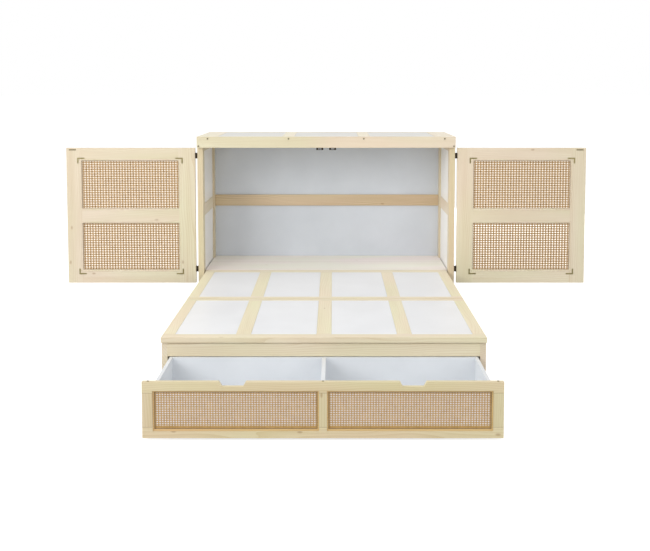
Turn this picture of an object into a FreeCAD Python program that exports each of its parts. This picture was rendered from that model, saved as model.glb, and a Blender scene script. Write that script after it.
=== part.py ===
import FreeCAD, Part
import os
from types import SimpleNamespace
import Sketcher

# Cabinet bed with a fold-out sleeping platform, two cane doors and a rolling drawer housing.
# Millimetres, +Z up, front towards -Y. Pieces are laid out from the front face of the front
# posts (y = 0), and every finished piece is then set so that the origin lies on the floor
# under the middle of the opened bed.

doc = FreeCAD.newDocument("cabinet_bed")
sheet = doc.addObject("Spreadsheet::Sheet", "sizes")

table = {
    # cabinet
    "cabinet_width": 1626,
    "cabinet_height": 1202,
    "cabinet_depth": 570,
    "foot_height": 10,
    "foot_diameter": 34,
    "post_width": 35,
    "post_depth": 70,
    "rear_post_width": 40,
    "rear_post_depth": 97,
    "rail_height": 70,
    "mid_rail_height": 76,
    "mid_rail_bottom": 692,
    "back_rail_thickness": 30,
    "back_rail_inset": 6,
    "wall_panel": 9,
    "back_panel_inset": 13,
    "side_panel_inset": 22,
    "groove_depth": 8,
    "panel_play": 0.5,
    "top_thickness": 26,
    "top_end_rail": 139,
    "top_cross_rail": 94,
    "top_back_rail": 60,
    "top_panel": 12,
    "rebate_width": 10,
    "apron_height": 70,
    "stretcher_depth": 35,
    # inner deck at the head of the bed
    "deck_side_gap": 2,
    "deck_rail_width": 46,
    "deck_back_gap": 1,
    "deck_notch_gap": 1.5,
    "cleat_thickness": 10,
    "cleat_height": 30,
    # doors
    "door_height": 861,
    "door_thickness": 22,
    "door_top_gap": 2,
    "door_meeting_gap": 2,
    "lead_stile": 95,
    "hinge_stile": 104,
    "door_top_rail": 81,
    "door_mid_rail": 93,
    "door_bottom_rail": 84,
    "upper_pane": 304,
    "bead_width": 10,
    "bead_depth": 8,
    "bead_round": 3,
    "cane_thickness": 2,
    "cane_strand": 14,
    "door_cane_columns": 10,
    "door_cane_rows": 5,
    "bracket_long": 46,
    "bracket_short": 36,
    "bracket_width": 8,
    "bracket_thickness": 1.5,
    "bracket_side_step": 26,
    "bracket_top_step": 19,
    "bracket_low_step": 29,
    "strike_length": 43,
    "strike_height": 8,
    "strike_thickness": 1.5,
    "strike_inset": 18,
    "strike_drop": 8,
    "catch_length": 44,
    "catch_depth": 15,
    "catch_height": 16,
    "catch_chamfer": 3,
    "catch_setback": 2.5,
    # door hinges
    "hinge_offset": 7,
    "hinge_height": 35,
    "hinge_leaf": 2.5,
    "hinge_reach": 18,
    "hinge_barrel": 13.4,
    "hinge_pin": 5,
    "upper_hinge_drop": 49,
    "lower_hinge_rise": 91,
    "running_play": 0.05,
    "running_gap": 0.3,
    # folding platform
    "platform_side_gap": 8,
    "platform_thickness": 26,
    "platform_top": 339,
    "fold_line": 62,
    "panel_pitch": 770,
    "foot_panel_length": 766.5,
    "fold_gap": 7,
    "border_stile": 68,
    "inner_stile": 91,
    "inner_stile_place": 384,
    "foot_rail": 67,
    "fold_rail": 49,
    "head_rail": 75,
    "deck_panel": 12,
    "deck_panel_drop": 1,
    "fold_hinge_length": 60,
    "fold_hinge_leaf": 1.5,
    "fold_hinge_reach": 20,
    "fold_hinge_barrel": 6,
    "fold_hinge_pin": 3,
    "fold_hinge_inset": 308,
    "fold_axis_drop": 0.5,
    # drawer housing on casters
    "housing_side_gap": 2,
    "housing_side": 27.5,
    "housing_depth": 430,
    "housing_setback": 12,
    "housing_side_bottom": 12,
    "housing_clearance": 0.5,
    "housing_rail_drop": 4.5,
    "housing_rail_bottom": 245,
    "housing_rail_thickness": 22,
    "housing_back": 15,
    "housing_floor_bottom": 52,
    "housing_floor": 15,
    "caster_side_inset": 166,
    "caster_inset": 70,
    "wheel_diameter": 40,
    "wheel_width": 16,
    "axle_diameter": 6,
    "fork_plate": 3,
    "fork_cheek": 2.5,
    "fork_depth": 20,
    # drawer
    "drawer_travel": 380,
    "drawer_seat_gap": 1,
    "drawer_front_overhang": 7,
    "drawer_front_height": 246,
    "drawer_front_thickness": 22,
    "drawer_front_bottom": 11.5,
    "drawer_rail": 47,
    "drawer_end_stile": 45,
    "drawer_centre_stile": 34,
    "pane_top_margin": 39,
    "pane_bottom_margin": 31,
    "notch_width": 115,
    "notch_base": 91,
    "notch_depth": 22,
    "notch_round": 5,
    "drawer_bead": 6,
    "drawer_bead_depth": 6,
    "drawer_bead_setback": 5,
    "drawer_cane_columns": 13,
    "drawer_cane_rows": 3,
    "box_height": 163,
    "box_bottom": 80,
    "box_wall": 15,
    "box_depth": 384,
    "box_front": 12,
    "box_front_drop": 3,
    "divider": 18,
    "box_floor": 9,
    "box_floor_rise": 8,
    # drawer runners
    "runner_gap": 11,
    "runner_height": 45,
    "runner_sheet": 1.2,
    "runner_lip": 8,
    "runner_middle_lip": 6.5,
    "runner_inner_lip": 6.5,
    "runner_middle_height": 140,
}

for row, (name, value) in enumerate(table.items(), start=1):
    sheet.set("A%d" % row, name)
    sheet.set("B%d" % row, str(value))
    sheet.setAlias("B%d" % row, name)
doc.recompute()


class Size:
    """A length and the sheet expression that it comes from."""

    def __init__(self, value, text):
        self.value = value
        self.text = text

    def __add__(self, other):
        other = size(other)
        return Size(self.value + other.value, "(%s + %s)" % (self.text, other.text))

    def __sub__(self, other):
        other = size(other)
        return Size(self.value - other.value, "(%s - %s)" % (self.text, other.text))

    def __mul__(self, other):
        other = size(other)
        return Size(self.value * other.value, "(%s * %s)" % (self.text, other.text))

    def __truediv__(self, other):
        other = size(other)
        return Size(self.value / other.value, "(%s / %s)" % (self.text, other.text))

    def __neg__(self):
        return Size(-self.value, "(0 - %s)" % self.text)

    __radd__ = __add__
    __rmul__ = __mul__

    def __rsub__(self, other):
        return size(other) - self


def size(value):
    if isinstance(value, Size):
        return value
    return Size(float(value), "%g" % value)


d = SimpleNamespace(**{name: Size(float(sheet.get(name)), "sizes." + name) for name in table})


def bind(obj, prop, value):
    obj.setExpression(prop, size(value).text)


def place(obj, x=0, y=0, z=0, rotation=None):
    if rotation is not None:
        obj.Placement = FreeCAD.Placement(FreeCAD.Vector(), rotation)
    bind(obj, "Placement.Base.x", x)
    bind(obj, "Placement.Base.y", y)
    bind(obj, "Placement.Base.z", z)
    return obj


def board(name, x0, x1, y0, y1, z0, z1):
    """A board between two opposite corners."""
    box = doc.addObject("Part::Box", name)
    bind(box, "Length", size(x1) - x0)
    bind(box, "Width", size(y1) - y0)
    bind(box, "Height", size(z1) - z0)
    return place(box, x0, y0, z0)


def rod(name, diameter, length, x=0, y=0, z=0, rotation=None):
    cylinder = doc.addObject("Part::Cylinder", name)
    bind(cylinder, "Radius", size(diameter) / 2)
    bind(cylinder, "Height", length)
    return place(cylinder, x, y, z, rotation)


def group(name, members):
    compound = doc.addObject("Part::Compound", name)
    compound.Links = members
    return compound


def cut(name, base, tool):
    result = doc.addObject("Part::Cut", name)
    result.Base = base
    result.Tool = tool
    return result


def fuse(name, members):
    result = doc.addObject("Part::MultiFuse", name)
    result.Shapes = members
    result.Refine = True
    return result


def mirrored(name, source):
    """The same piece on the other side of the middle of the bed."""
    result = doc.addObject("Part::Mirroring", name)
    result.Source = source
    result.Base = FreeCAD.Vector(0, 0, 0)
    result.Normal = FreeCAD.Vector(1, 0, 0)
    return result


def origin_plane(body, role):
    return [item for item in body.Origin.OriginFeatures if item.Role == role][0]


def outline(body, role, loops):
    """A sketch of closed straight-sided loops, each corner held by its two coordinates."""
    sketch = body.newObject("Sketcher::SketchObject", body.Name + "_sketch")
    sketch.AttachmentSupport = [(origin_plane(body, role), "")]
    sketch.MapMode = "FlatFace"
    for corners in loops:
        first = sketch.GeometryCount
        count = len(corners)
        points = [FreeCAD.Vector(size(u).value, size(v).value, 0) for u, v in corners]
        for index in range(count):
            sketch.addGeometry(Part.LineSegment(points[index], points[(index + 1) % count]))
        for index in range(count):
            following = first + (index + 1) % count
            sketch.addConstraint(Sketcher.Constraint("Coincident", first + index, 2, following, 1))
        for index, (u, v) in enumerate(corners):
            for kind, coordinate in (("DistanceX", u), ("DistanceY", v)):
                value = size(coordinate)
                item = Sketcher.Constraint(kind, first + index, 1, value.value)
                bind(sketch, "Constraints[%d]" % sketch.addConstraint(item), value)
    return sketch


def prism(name, role, loops, length, x=0, y=0, z=0):
    """A profile drawn on one of the body's planes and padded towards +X, +Y or +Z."""
    body = doc.addObject("PartDesign::Body", name)
    pad = body.newObject("PartDesign::Pad", name + "_pad")
    pad.Profile = outline(body, role, loops)
    pad.Reversed = role == "XZ_Plane"
    bind(pad, "Length", length)
    body.Tip = pad
    return place(body, x, y, z)


def spun(name, role, loops, axis, x=0, y=0, z=0):
    """A half profile turned about one of its sketch's own axes."""
    body = doc.addObject("PartDesign::Body", name)
    sketch = outline(body, role, loops)
    turned = body.newObject("PartDesign::Revolution", name + "_turned")
    turned.Profile = sketch
    turned.ReferenceAxis = (sketch, [axis])
    turned.Angle = 360
    body.Tip = turned
    return place(body, x, y, z)


def rectangle(u0, u1, v0, v1):
    return [(u0, v0), (u1, v0), (u1, v1), (u0, v1)]


half_width = d.cabinet_width / 2
wall_inside = half_width - d.post_width
top_under = d.cabinet_height - d.top_thickness
deck_under = d.platform_top - d.platform_thickness
rear_post_front = d.cabinet_depth - d.rear_post_depth
deck_half = wall_inside - d.deck_side_gap
platform_half = deck_half - d.platform_side_gap
housing_half = platform_half - d.housing_side_gap
front_half = platform_half + d.drawer_front_overhang
fold_half = d.fold_gap / 2
fold_two = d.fold_line - d.panel_pitch
foot_edge = fold_two - fold_half - d.foot_panel_length
housing_front = foot_edge + d.housing_setback
drawer_back_face = housing_front - d.drawer_seat_gap - d.drawer_travel
drawer_face = drawer_back_face - d.drawer_front_thickness
middle_shift = -(drawer_face + d.cabinet_depth) / 2

nodes = []


def node(label, members):
    """One finished node of the bed, moved so that the bed's middle is over the origin."""
    piece = group(label, members)
    piece.Label = label
    bind(piece, "Placement.Base.y", middle_shift)
    nodes.append(piece)
    return piece


# Cabinet walls: grooved posts and rails around white panels.

panel_out = half_width - d.side_panel_inset
panel_in = panel_out - d.wall_panel
panel_front = d.post_depth - d.groove_depth + d.panel_play
panel_rear = rear_post_front + d.groove_depth - d.panel_play
side_low = d.foot_height + d.rail_height
side_mid_top = d.mid_rail_bottom + d.mid_rail_height
side_high = top_under - d.rail_height
seat = d.groove_depth - d.panel_play

side_lower_panel = board("side_lower_panel", panel_in, panel_out, panel_front, panel_rear,
                         side_low - seat, d.mid_rail_bottom + seat)
side_upper_panel = board("side_upper_panel", panel_in, panel_out, panel_front, panel_rear,
                         side_mid_top - seat, side_high + seat)
side_grooves = group("side_grooves", [
    board("side_lower_groove", panel_in, panel_out, d.post_depth - d.groove_depth,
          rear_post_front + d.groove_depth, side_low - d.groove_depth,
          d.mid_rail_bottom + d.groove_depth),
    board("side_upper_groove", panel_in, panel_out, d.post_depth - d.groove_depth,
          rear_post_front + d.groove_depth, side_mid_top - d.groove_depth,
          side_high + d.groove_depth),
])

back_panel_rear = d.cabinet_depth - d.back_panel_inset
back_panel_front = back_panel_rear - d.wall_panel
rear_post_in = half_width - d.rear_post_width
back_half = rear_post_in + seat
back_groove_half = rear_post_in + d.groove_depth
back_lower_panel = board("back_lower_panel", -back_half, back_half, back_panel_front,
                         back_panel_rear, side_low - seat, d.mid_rail_bottom + seat)
back_upper_panel = board("back_upper_panel", -back_half, back_half, back_panel_front,
                         back_panel_rear, side_mid_top - seat, side_high + seat)
back_grooves = group("back_grooves", [
    board("back_lower_groove", -back_groove_half, back_groove_half, back_panel_front,
          back_panel_rear, side_low - d.groove_depth, d.mid_rail_bottom + d.groove_depth),
    board("back_upper_groove", -back_groove_half, back_groove_half, back_panel_front,
          back_panel_rear, side_mid_top - d.groove_depth, side_high + d.groove_depth),
])

front_post = cut("front_post",
                 board("front_post_blank", wall_inside, half_width, 0, d.post_depth,
                       d.foot_height, top_under), side_grooves)
node("front_posts", [front_post, mirrored("front_post_left", front_post)])

rear_post = cut("rear_post",
                board("rear_post_blank", rear_post_in, half_width, rear_post_front,
                      d.cabinet_depth, d.foot_height, top_under),
                group("rear_post_grooves", [side_grooves, back_grooves]))
node("rear_posts", [rear_post, mirrored("rear_post_left", rear_post)])

side_rail_blanks = group("side_rail_blanks", [
    board("side_%s_rail" % name, wall_inside, half_width, d.post_depth, rear_post_front, low, high)
    for name, low, high in (("bottom", d.foot_height, side_low),
                            ("mid", d.mid_rail_bottom, side_mid_top),
                            ("top", side_high, top_under))
])
side_rail_set = cut("side_rail_set", side_rail_blanks, side_grooves)
node("side_rails", [side_rail_set, mirrored("side_rail_set_left", side_rail_set)])
node("side_panels", [side_lower_panel, side_upper_panel,
                     mirrored("side_lower_panel_left", side_lower_panel),
                     mirrored("side_upper_panel_left", side_upper_panel)])

back_rail_rear = d.cabinet_depth - d.back_rail_inset
back_rail_front = back_rail_rear - d.back_rail_thickness
back_rail_blanks = group("back_rail_blanks", [
    board("back_%s_rail" % name, -rear_post_in, rear_post_in, back_rail_front, back_rail_rear,
          low, high)
    for name, low, high in (("bottom", d.foot_height, side_low),
                            ("mid", d.mid_rail_bottom, side_mid_top),
                            ("top", side_high, top_under))
])
node("back_rails", [cut("back_rail_set", back_rail_blanks, back_grooves)])
node("back_panels", [back_lower_panel, back_upper_panel])

# Cabinet top: cross rails behind the apron, with white panels dropped into rebates.

cross_half = d.top_cross_rail / 2
top_bay = (d.cabinet_width - 2 * d.top_end_rail - 2 * d.top_cross_rail) / 3
cross_centre = (top_bay + d.top_cross_rail) / 2
top_rail_front = d.cabinet_depth - d.top_back_rail
end_rail_in = half_width - d.top_end_rail
top_seat_floor = d.cabinet_height - d.deck_panel_drop - d.top_panel
top_bays = (("left", -end_rail_in, -(cross_centre + cross_half)),
            ("middle", -(cross_centre - cross_half), cross_centre - cross_half),
            ("right", cross_centre + cross_half, end_rail_in))
top_panels = []
top_seats = []
for name, low, high in top_bays:
    inner = d.rebate_width - d.panel_play
    top_panels.append(board("top_%s_panel" % name, low - inner, high + inner, d.panel_play,
                            top_rail_front + inner, top_seat_floor,
                            d.cabinet_height - d.deck_panel_drop))
    top_seats.append(board("top_%s_seat" % name, low - d.rebate_width, high + d.rebate_width, 0,
                           top_rail_front + d.rebate_width, top_seat_floor, d.cabinet_height))
top_seat_set = group("top_seat_set", top_seats)
top_crosses = group("top_crosses", [
    board("top_%s_rail" % name, low, high, 0, top_rail_front, top_under, d.cabinet_height)
    for name, low, high in (("left_end", -half_width, -end_rail_in),
                            ("left_cross", -(cross_centre + cross_half), cross_half - cross_centre),
                            ("right_cross", cross_centre - cross_half, cross_centre + cross_half),
                            ("right_end", end_rail_in, half_width))
])
node("top_cross_rails", [cut("top_cross_set", top_crosses, top_seat_set)])
top_back_blank = board("top_back_blank", -half_width, half_width, top_rail_front, d.cabinet_depth,
                       top_under, d.cabinet_height)
apron_bottom = d.cabinet_height - d.apron_height
stretcher = board("stretcher", -wall_inside, wall_inside, 0, d.stretcher_depth, apron_bottom,
                  top_under)
node("top_long_rails", [cut("top_back_rail_cut", top_back_blank, top_seat_set), stretcher])
node("top_panels", top_panels)
node("top_apron", [board("apron", -half_width, half_width, -d.door_thickness, 0, apron_bottom,
                         d.cabinet_height)])

# Inner deck on cleats, notched round the rear posts.

deck_front = d.fold_line + fold_half
deck_back = back_panel_front - d.deck_back_gap
deck_board = (deck_back - deck_front - d.deck_rail_width) / 2
deck_split = deck_front + d.deck_rail_width
deck_blanks = group("deck_blanks", [
    board("deck_front_board", -deck_half, deck_half, deck_front, deck_split, deck_under,
          d.platform_top),
    board("deck_mid_board", -deck_half, deck_half, deck_split, deck_split + deck_board, deck_under,
          d.platform_top),
    board("deck_rear_board", -deck_half, deck_half, deck_split + deck_board, deck_back, deck_under,
          d.platform_top),
])
deck_notch = board("deck_notch", rear_post_in - d.deck_notch_gap, half_width,
                   rear_post_front - d.deck_notch_gap, d.cabinet_depth, 0, d.cabinet_height)
node("inner_deck_boards", [cut("deck_notched", deck_blanks, group("deck_notches", [
    deck_notch, mirrored("deck_notch_left", deck_notch)]))])
side_cleat = board("side_cleat", wall_inside - d.cleat_thickness, wall_inside, d.post_depth,
                   rear_post_front, deck_under - d.cleat_height, deck_under)
back_cleat = board("back_cleat", -rear_post_in, rear_post_in,
                   back_panel_front - 2 * d.cleat_thickness, back_panel_front,
                   deck_under - d.cleat_height, deck_under)
node("deck_cleats", [side_cleat, mirrored("side_cleat_left", side_cleat), back_cleat])

# Levelling feet under the four posts.

front_foot = rod("front_foot", d.foot_diameter, d.foot_height, half_width - d.post_width / 2,
                 d.post_depth / 2)
rear_foot = rod("rear_foot", d.foot_diameter, d.foot_height, half_width - d.rear_post_width / 2,
                rear_post_front + d.rear_post_depth / 2)
node("levelling_feet", [front_foot, rear_foot, mirrored("front_foot_left", front_foot),
                        mirrored("rear_foot_left", rear_foot)])

# Hinges: a fixed leaf with two outer knuckles and the pin, and a moving leaf with the middle
# knuckle. They are drawn with the pin along Z, the leaves lying on faces to either side of it.


def hinge_leaf(name, side, moving, half_gap, plate, reach, barrel, pin, length):
    knuckle = length / 6
    top = length / 2
    room = barrel / 2 + d.running_gap
    outer = top - knuckle - d.running_gap
    low, high = (half_gap - plate, half_gap) if side > 0 else (-half_gap, plate - half_gap)
    leaf = board(name + "_plate", low, high, d.running_gap, reach, -top, top)
    if moving:
        notches = group(name + "_notches", [
            board(name + "_notch_low", low, high, 0, room, -top, -knuckle),
            board(name + "_notch_high", low, high, 0, room, knuckle, top)])
        barrels = [rod(name + "_knuckle", barrel, 2 * knuckle, 0, 0, -knuckle)]
    else:
        notches = board(name + "_notch", low, high, 0, room, outer - top, top - outer)
        barrels = [rod(name + "_knuckle_low", barrel, outer, 0, 0, -top),
                   rod(name + "_knuckle_high", barrel, outer, 0, 0, top - outer),
                   rod(name + "_pin", pin, length, 0, 0, -top)]
    joined = fuse(name + "_joined", [cut(name + "_notched", leaf, notches)] + barrels)
    if moving:
        joined = cut(name + "_bored", joined,
                     rod(name + "_bore", pin + 2 * d.running_play, length, 0, 0, -top))
    return joined


def hinge_pieces(name, leaf, spots, rotation=None):
    """Copies of one leaf at each of its places."""
    pieces = []
    for index, (x, y, z) in enumerate(spots):
        copy = group("%s_%d" % (name, index + 1), [leaf])
        pieces.append(place(copy, x, y, z, rotation))
    return pieces


door_top = apron_bottom - d.door_top_gap
door_low = door_top - d.door_height
door_leaf = (d.hinge_offset, d.hinge_leaf, d.hinge_reach, d.hinge_barrel, d.hinge_pin,
             d.hinge_height)
door_axis = half_width + d.hinge_offset
door_spots = [(door_axis, 0, door_top - d.upper_hinge_drop),
              (door_axis, 0, door_low + d.lower_hinge_rise)]
door_fixed = group("door_fixed", hinge_pieces(
    "door_fixed_leaf", hinge_leaf("post_leaf", -1, False, *door_leaf), door_spots))
door_moving = group("door_moving", hinge_pieces(
    "door_moving_leaf", hinge_leaf("stile_leaf", 1, True, *door_leaf), door_spots))
node("door_hinge_fixed_leaves", [door_fixed, mirrored("door_fixed_left", door_fixed)])

fold_leaf = (fold_half, d.fold_hinge_leaf, d.fold_hinge_reach, d.fold_hinge_barrel,
             d.fold_hinge_pin, d.fold_hinge_length)
head_axis = d.platform_top - d.fold_hinge_barrel / 2
fold_axis = deck_under - d.fold_axis_drop
fold_reach = platform_half - d.fold_hinge_inset
fold_places = (-fold_reach, fold_reach)
head_spots = [(x, d.fold_line, head_axis) for x in fold_places]
fold_spots = [(x, fold_two, fold_axis) for x in fold_places]
leaf_down = FreeCAD.Rotation(FreeCAD.Vector(0, 1, 0), FreeCAD.Vector(0, 0, -1),
                             FreeCAD.Vector(-1, 0, 0), "ZXY")
leaf_up = FreeCAD.Rotation(FreeCAD.Vector(0, 1, 0), FreeCAD.Vector(0, 0, 1),
                           FreeCAD.Vector(1, 0, 0), "ZXY")
still_leaf = hinge_leaf("still_leaf", 1, False, *fold_leaf)
swing_leaf = hinge_leaf("swing_leaf", -1, True, *fold_leaf)
node("deck_hinge_fixed_leaves", hinge_pieces("deck_leaf", still_leaf, head_spots, leaf_down))

# Doors, drawn on the right, swung fully open beside the cabinet with the inner face forward.

door_width = half_width - d.door_meeting_gap / 2
door_near = half_width + 2 * d.hinge_offset
door_far = door_near + door_width
pane_near = door_near + d.hinge_stile
pane_far = door_far - d.lead_stile
upper_top = door_top - d.door_top_rail
upper_low = upper_top - d.upper_pane
lower_top = upper_low - d.door_mid_rail
lower_low = door_low + d.door_bottom_rail
seat_depth = d.bead_depth + d.cane_thickness
door_panes = (("upper", upper_low, upper_top), ("lower", lower_low, lower_top))


def bead_frame(name, u0, u1, v0, v1, width, depth, y):
    """A retaining bead with its inner front edge rounded."""
    inside = rectangle(u0 + width, u1 - width, v0 + width, v1 - width)
    body = prism(name, "XZ_Plane", [rectangle(u0, u1, v0, v1), inside], depth, 0, y)
    doc.recompute()
    pad = body.Tip
    chosen = []
    for index, edge in enumerate(pad.Shape.Edges, start=1):
        middle = edge.CenterOfMass
        inner_u = (u0 + width).value - 0.01 < middle.x < (u1 - width).value + 0.01
        inner_v = (v0 + width).value - 0.01 < middle.z < (v1 - width).value + 0.01
        if abs(middle.y) < 0.01 and inner_u and inner_v:
            chosen.append("Edge%d" % index)
    eased = body.newObject("PartDesign::Chamfer", name + "_eased")
    eased.Base = (pad, chosen)
    bind(eased, "Size", d.bead_round)
    body.Tip = eased
    return body


def cane_sheet(name, u0, u1, v0, v1, margin, columns, rows, y):
    """A woven sheet: one thin plate, holed over the part of it that shows."""
    left, right, low, high = u0.value, u1.value, v0.value, v1.value
    across = int(columns.value)
    up = int(rows.value)
    step_u = (right - left) / across
    step_v = (high - low) / up
    strand = d.cane_strand.value
    base = y.value
    rim = size(margin).value

    def loop(a, b, c, e):
        corners = [FreeCAD.Vector(a, base, c), FreeCAD.Vector(b, base, c),
                   FreeCAD.Vector(b, base, e), FreeCAD.Vector(a, base, e)]
        return Part.makePolygon(corners + corners[:1])

    wires = [loop(left - rim, right + rim, low - rim, high + rim)]
    for column in range(across):
        for line in range(up):
            a = left + column * step_u + strand / 2
            c = low + line * step_v + strand / 2
            wires.append(loop(a, a + step_u - strand, c, c + step_v - strand))
    face = Part.makeFace(wires, "Part::FaceMakerBullseye")
    sheet_piece = doc.addObject("Part::Feature", name)
    sheet_piece.Shape = face.extrude(FreeCAD.Vector(0, d.cane_thickness.value, 0))
    return sheet_piece


door_seats = []
door_beads = []
door_canes = []
for name, low, high in door_panes:
    door_seats.append(board("door_%s_seat" % name, pane_near - d.bead_width,
                            pane_far + d.bead_width, 0, seat_depth, low - d.bead_width,
                            high + d.bead_width))
    rim = d.bead_width - d.panel_play
    door_beads.append(bead_frame("door_%s_bead" % name, pane_near - d.bead_width,
                                 pane_far + d.bead_width, low - d.bead_width, high + d.bead_width,
                                 d.bead_width, d.bead_depth, 0))
    door_canes.append(cane_sheet("door_%s_cane" % name, pane_near, pane_far, low, high, rim,
                                 d.door_cane_columns, d.door_cane_rows, d.bead_depth))
door_seat_set = group("door_seat_set", door_seats)
door_stiles = cut("door_stiles", group("door_stile_blanks", [
    board("hinge_stile_blank", door_near, pane_near, 0, d.door_thickness, door_low, door_top),
    board("lead_stile_blank", pane_far, door_far, 0, d.door_thickness, door_low, door_top),
]), door_seat_set)
door_rails = cut("door_rails", group("door_rail_blanks", [
    board("door_%s_rail" % name, pane_near, pane_far, 0, d.door_thickness, low, high)
    for name, low, high in (("bottom", door_low, lower_low), ("mid", lower_top, upper_low),
                            ("top", upper_top, door_top))
]), door_seat_set)


def bracket(name, u, v, along, rise):
    """A flat angle over one corner of the cane, its arms running inwards from the corner."""
    wide = d.bracket_width
    corners = [(u, v), (u + along * d.bracket_long, v),
               (u + along * d.bracket_long, v + rise * wide),
               (u + along * wide, v + rise * wide),
               (u + along * wide, v + rise * d.bracket_short),
               (u, v + rise * d.bracket_short)]
    return prism(name, "XZ_Plane", [corners], d.bracket_thickness, 0, -d.bracket_thickness)


bracket_near = pane_near - d.bracket_side_step
bracket_far = pane_far + d.bracket_side_step
bracket_low = lower_low - d.bracket_low_step
bracket_high = upper_top + d.bracket_top_step
door_brackets = group("door_brackets", [
    bracket("bracket_low_near", bracket_near, bracket_low, 1, 1),
    bracket("bracket_low_far", bracket_far, bracket_low, -1, 1),
    bracket("bracket_high_near", bracket_near, bracket_high, 1, -1),
    bracket("bracket_high_far", bracket_far, bracket_high, -1, -1),
])
strike_far = door_far - d.strike_inset
strike_top = door_top - d.strike_drop
strike = board("strike", strike_far - d.strike_length, strike_far, -d.strike_thickness, 0,
               strike_top - d.strike_height, strike_top)
door_pieces = (("stiles", door_stiles), ("rails", door_rails),
               ("beads", group("door_bead_pair", door_beads)),
               ("cane", group("door_cane_pair", door_canes)), ("brackets", door_brackets),
               ("strike", strike), ("hinge_leaves", door_moving))
for name, piece in door_pieces:
    node("right_door_" + name, [piece])
    node("left_door_" + name, [mirrored("mirrored_door_" + name, piece)])

catch_centre = d.door_meeting_gap / 2 + d.strike_inset + d.strike_length / 2
catch_edge = d.catch_chamfer
catch_rear = d.catch_setback + d.catch_depth
catch_low = apron_bottom - d.catch_height
catch = prism("catch", "YZ_Plane", [[
    (d.catch_setback, apron_bottom), (d.catch_setback, catch_low + catch_edge),
    (d.catch_setback + catch_edge, catch_low), (catch_rear - catch_edge, catch_low),
    (catch_rear, catch_low + catch_edge), (catch_rear, apron_bottom)]],
    d.catch_length, catch_centre - d.catch_length / 2)
node("magnetic_catches", [catch, mirrored("catch_left", catch)])

# Folding platform: two framed panels, hinged to the inner deck and to each other.

border_in = platform_half - d.border_stile
stile_steps = [(-platform_half, -border_in)]
for step in (-1, 0, 1):
    centre = step * d.inner_stile_place
    stile_steps.append((centre - d.inner_stile / 2, centre + d.inner_stile / 2))
stile_steps.append((border_in, platform_half))


def platform_panel(name, y0, y1, near_rail, far_rail):
    """One framed half of the platform: rails across, stiles between them, panels in rebates."""
    low = y0 + near_rail
    high = y1 - far_rail
    top = d.platform_top
    seat_floor = top - d.deck_panel_drop - d.deck_panel
    inner = d.rebate_width - d.panel_play
    panels = []
    seats = []
    for index in range(4):
        left = stile_steps[index][1]
        right = stile_steps[index + 1][0]
        panels.append(board("%s_panel_%d" % (name, index + 1), left - inner, right + inner,
                            low - inner, high + inner, seat_floor, top - d.deck_panel_drop))
        seats.append(board("%s_seat_%d" % (name, index + 1), left - d.rebate_width,
                           right + d.rebate_width, low - d.rebate_width, high + d.rebate_width,
                           seat_floor, top))
    seat_set = group(name + "_seat_set", seats)
    rails = group(name + "_rail_blanks", [
        board(name + "_near_rail", -platform_half, platform_half, y0, low, deck_under, top),
        board(name + "_far_rail", -platform_half, platform_half, high, y1, deck_under, top)])
    stiles = group(name + "_stile_blanks", [
        board("%s_stile_%d" % (name, index + 1), left, right, low, high, deck_under, top)
        for index, (left, right) in enumerate(stile_steps)])
    node(name + "_rails", [cut(name + "_rail_set", rails, seat_set)])
    node(name + "_stiles", [cut(name + "_stile_set", stiles, seat_set)])
    node(name + "_panels", panels)


platform_panel("rear_platform", fold_two + fold_half, d.fold_line - fold_half, d.fold_rail,
               d.head_rail)
platform_panel("front_platform", foot_edge, fold_two - fold_half, d.foot_rail, d.fold_rail)
node("rear_platform_hinge_leaves",
     hinge_pieces("head_leaf", swing_leaf, head_spots, leaf_down)
     + hinge_pieces("fold_leaf", still_leaf, fold_spots, leaf_up))
node("front_platform_hinge_leaves", hinge_pieces("foot_leaf", swing_leaf, fold_spots, leaf_up))

# Drawer housing: an open-fronted box on four casters that carries the foot of the platform.

housing_in = housing_half - d.housing_side
housing_rear = housing_front + d.housing_depth
side_top = deck_under - d.housing_clearance
cross_top = side_top - d.housing_rail_drop
floor_top = d.housing_floor_bottom + d.housing_floor
housing_side = board("housing_side_right", housing_in, housing_half, housing_front, housing_rear,
                     d.housing_side_bottom, side_top)
node("housing_sides", [housing_side, mirrored("housing_side_left", housing_side)])
node("housing_front_rail", [board("housing_rail", -housing_in, housing_in, housing_front,
                                  housing_front + d.housing_rail_thickness, d.housing_rail_bottom,
                                  cross_top)])
node("housing_back", [board("housing_back_board", -housing_in, housing_in,
                            housing_rear - d.housing_back, housing_rear, d.housing_floor_bottom,
                            cross_top)])
node("housing_floor", [board("housing_floor_board", -housing_in, housing_in, housing_front,
                             housing_rear - d.housing_back, d.housing_floor_bottom, floor_top)])

across = FreeCAD.Rotation(FreeCAD.Vector(0, 1, 0), 90)
wheel_radius = d.wheel_diameter / 2
wheel_half = d.wheel_width / 2
cheek_in = wheel_half + d.running_gap
cheek_out = cheek_in + d.fork_cheek
fork_half = d.fork_depth / 2
fork_under = d.housing_floor_bottom - d.fork_plate
fork_solids = [board("fork_plate_piece", -cheek_out - fork_half, cheek_out + fork_half, -fork_half * 2,
                     fork_half * 2, fork_under, d.housing_floor_bottom),
               rod("fork_axle", d.axle_diameter, 2 * cheek_out, -cheek_out, 0, wheel_radius, across)]
cheek_outline = [(-fork_half, fork_under), (-d.axle_diameter, wheel_radius - d.axle_diameter),
                 (d.axle_diameter, wheel_radius - d.axle_diameter), (fork_half, fork_under)]
for name, start in (("left", -cheek_out), ("right", cheek_in)):
    fork_solids.append(prism("fork_%s_cheek" % name, "YZ_Plane", [cheek_outline], d.fork_cheek, start))
fork = fuse("fork", fork_solids)
bore_radius = d.axle_diameter / 2 + d.running_play
wheel_profile = rectangle(-wheel_half, wheel_half, bore_radius, wheel_radius)
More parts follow.
